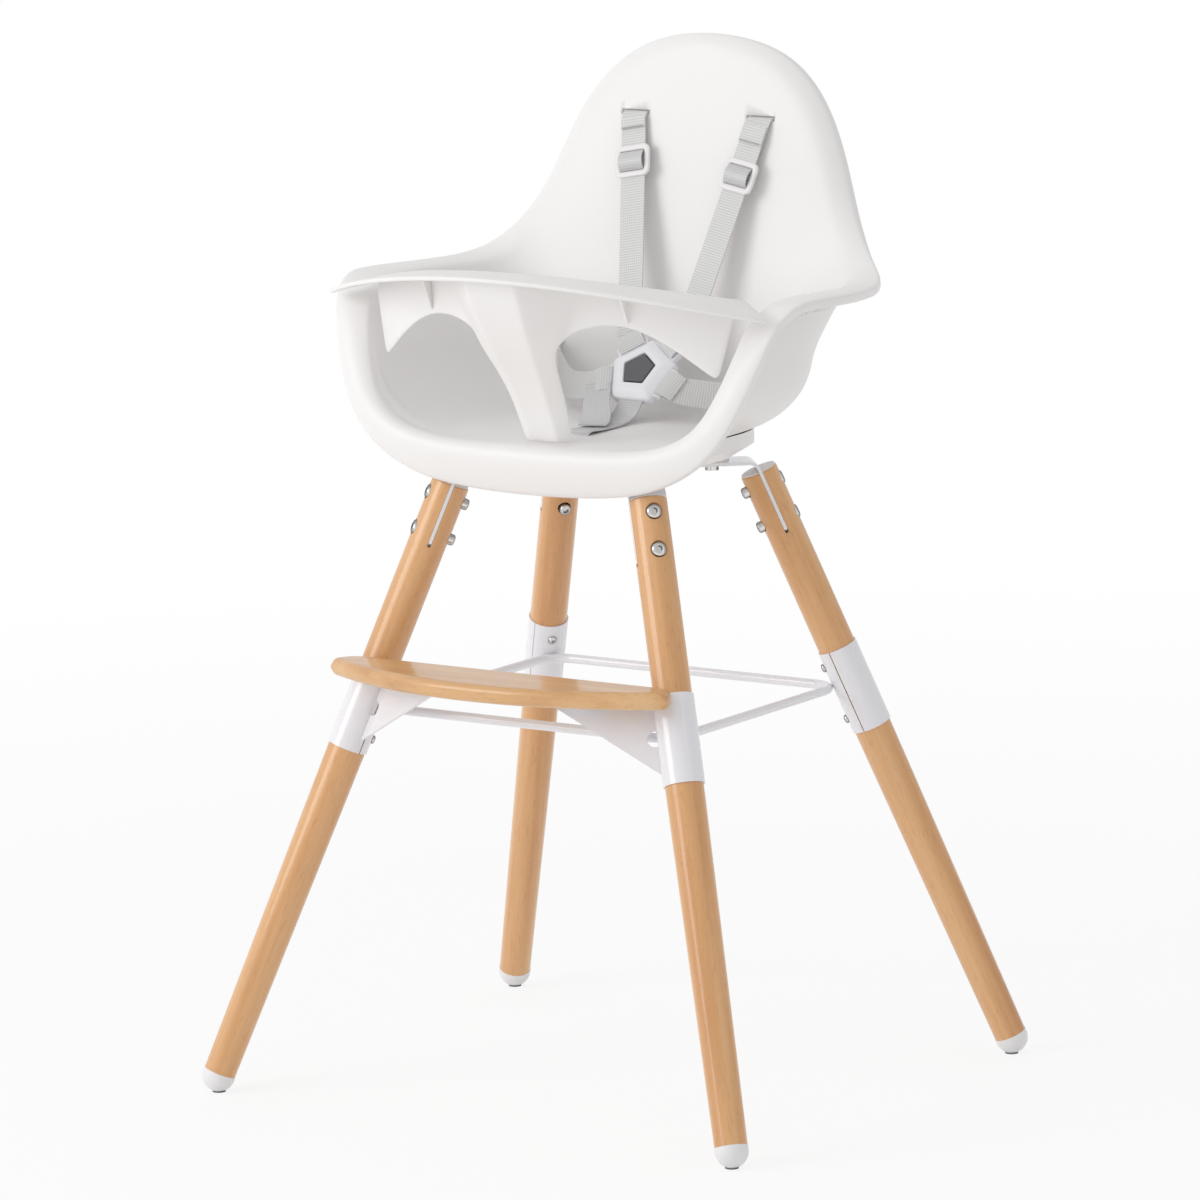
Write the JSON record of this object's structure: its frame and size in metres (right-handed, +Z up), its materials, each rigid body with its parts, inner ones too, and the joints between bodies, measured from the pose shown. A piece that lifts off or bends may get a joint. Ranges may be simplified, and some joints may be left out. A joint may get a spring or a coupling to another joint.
{
  "type": "baby high chair",
  "caption": "High chair with a white moulded bucket seat, front bumper tray and harness on raked round beech legs, with a wire stretcher ring and a wooden footrest.",
  "frame": {"origin": "floor level, under the middle of the four feet", "axes": "+Z up, -Y is the way the chair faces, +X is the child's left"},
  "size_m": [0.5776, 0.4974, 0.924],
  "materials": {
    "beech": "satin lacquered beech",
    "white_steel": "smooth white powder coat",
    "foot_plastic": "satin moulded plastic",
    "foot_rubber": "matt rubber",
    "cap_plastic": "satin moulded plastic",
    "bright_steel": "bright plated steel",
    "white_plastic": "satin moulded white plastic",
    "webbing": "ribbed woven webbing",
    "pale_plastic": "satin moulded plastic",
    "dark_plastic": "satin moulded plastic"
  },
  "bodies": {
    "chair": {"leg_lower_front_left": "beech", "leg_lower_front_right": "beech", "leg_lower_back_left": "beech", "leg_lower_back_right": "beech", "leg_upper_front_left": "beech", "leg_upper_front_right": "beech", "leg_upper_back_left": "beech", "leg_upper_back_right": "beech", "footrest_board": "beech", "sleeve_outer_front_left": "white_steel", "sleeve_outer_front_right": "white_steel", "sleeve_outer_back_left": "white_steel", "sleeve_outer_back_right": "white_steel", "sleeve_inner_front_left": "white_steel", "sleeve_inner_front_right": "white_steel", "sleeve_inner_back_left": "white_steel", "sleeve_inner_back_right": "white_steel", "stretcher_ring": "white_steel", "cross_bar_upper": "white_steel", "cross_bar_lower": "white_steel", "footrest_bracket_left": "white_steel", "footrest_bracket_right": "white_steel", "foot_cap_front_left": "foot_plastic", "foot_cap_front_right": "foot_plastic", "foot_cap_back_left": "foot_plastic", "foot_cap_back_right": "foot_plastic", "foot_pads": "foot_rubber", "leg_top_caps": "cap_plastic", "leg_bolts": "bright_steel", "leg_nuts": "bright_steel", "base_bolts": "bright_steel", "sleeve_screws": "bright_steel", "sleeve_nuts": "bright_steel", "footrest_screws": "bright_steel", "base_screws": "bright_steel", "button_spring": "bright_steel", "seat_shell": "white_plastic", "seat_base": "white_plastic", "tray_rack_left": "white_plastic", "tray_rack_right": "white_plastic", "shoulder_strap_left": "webbing", "shoulder_strap_right": "webbing", "waist_strap_left": "webbing", "waist_strap_right": "webbing", "crotch_strap": "webbing", "buckle_front": "pale_plastic", "buckle_back": "pale_plastic", "strap_anchors": "pale_plastic", "shoulder_tongue_left": "pale_plastic", "shoulder_tongue_right": "pale_plastic", "waist_tongue_left": "pale_plastic", "waist_tongue_right": "pale_plastic"},
    "bumper": {"bumper": "white_plastic"},
    "button": {"buckle_button": "dark_plastic"},
    "adjuster_left": {"strap_adjuster_left": "pale_plastic"},
    "adjuster_right": {"strap_adjuster_right": "pale_plastic"}
  },
  "joints": [
    {"name": "bumper_lift", "type": "slide", "parent": "chair", "child": "bumper", "axis": [0, 0, 1], "range_m": [0, 0.05]},
    {"name": "button_press", "type": "slide", "parent": "chair", "child": "button", "axis": [0, 0.766, -0.6428], "range_m": [0, 0.002], "stiffness_N_per_m": 1500, "springref_m": -0.001, "deforming": ["button_spring"]},
    {"name": "adjuster_left_slide", "type": "slide", "parent": "chair", "child": "adjuster_left", "axis": [-0.1848, -0.3448, -0.9203], "range_m": [-0.015, 0.075]},
    {"name": "adjuster_right_slide", "type": "slide", "parent": "chair", "child": "adjuster_right", "axis": [0.1848, -0.3448, -0.9203], "range_m": [-0.015, 0.075]}
  ]
}
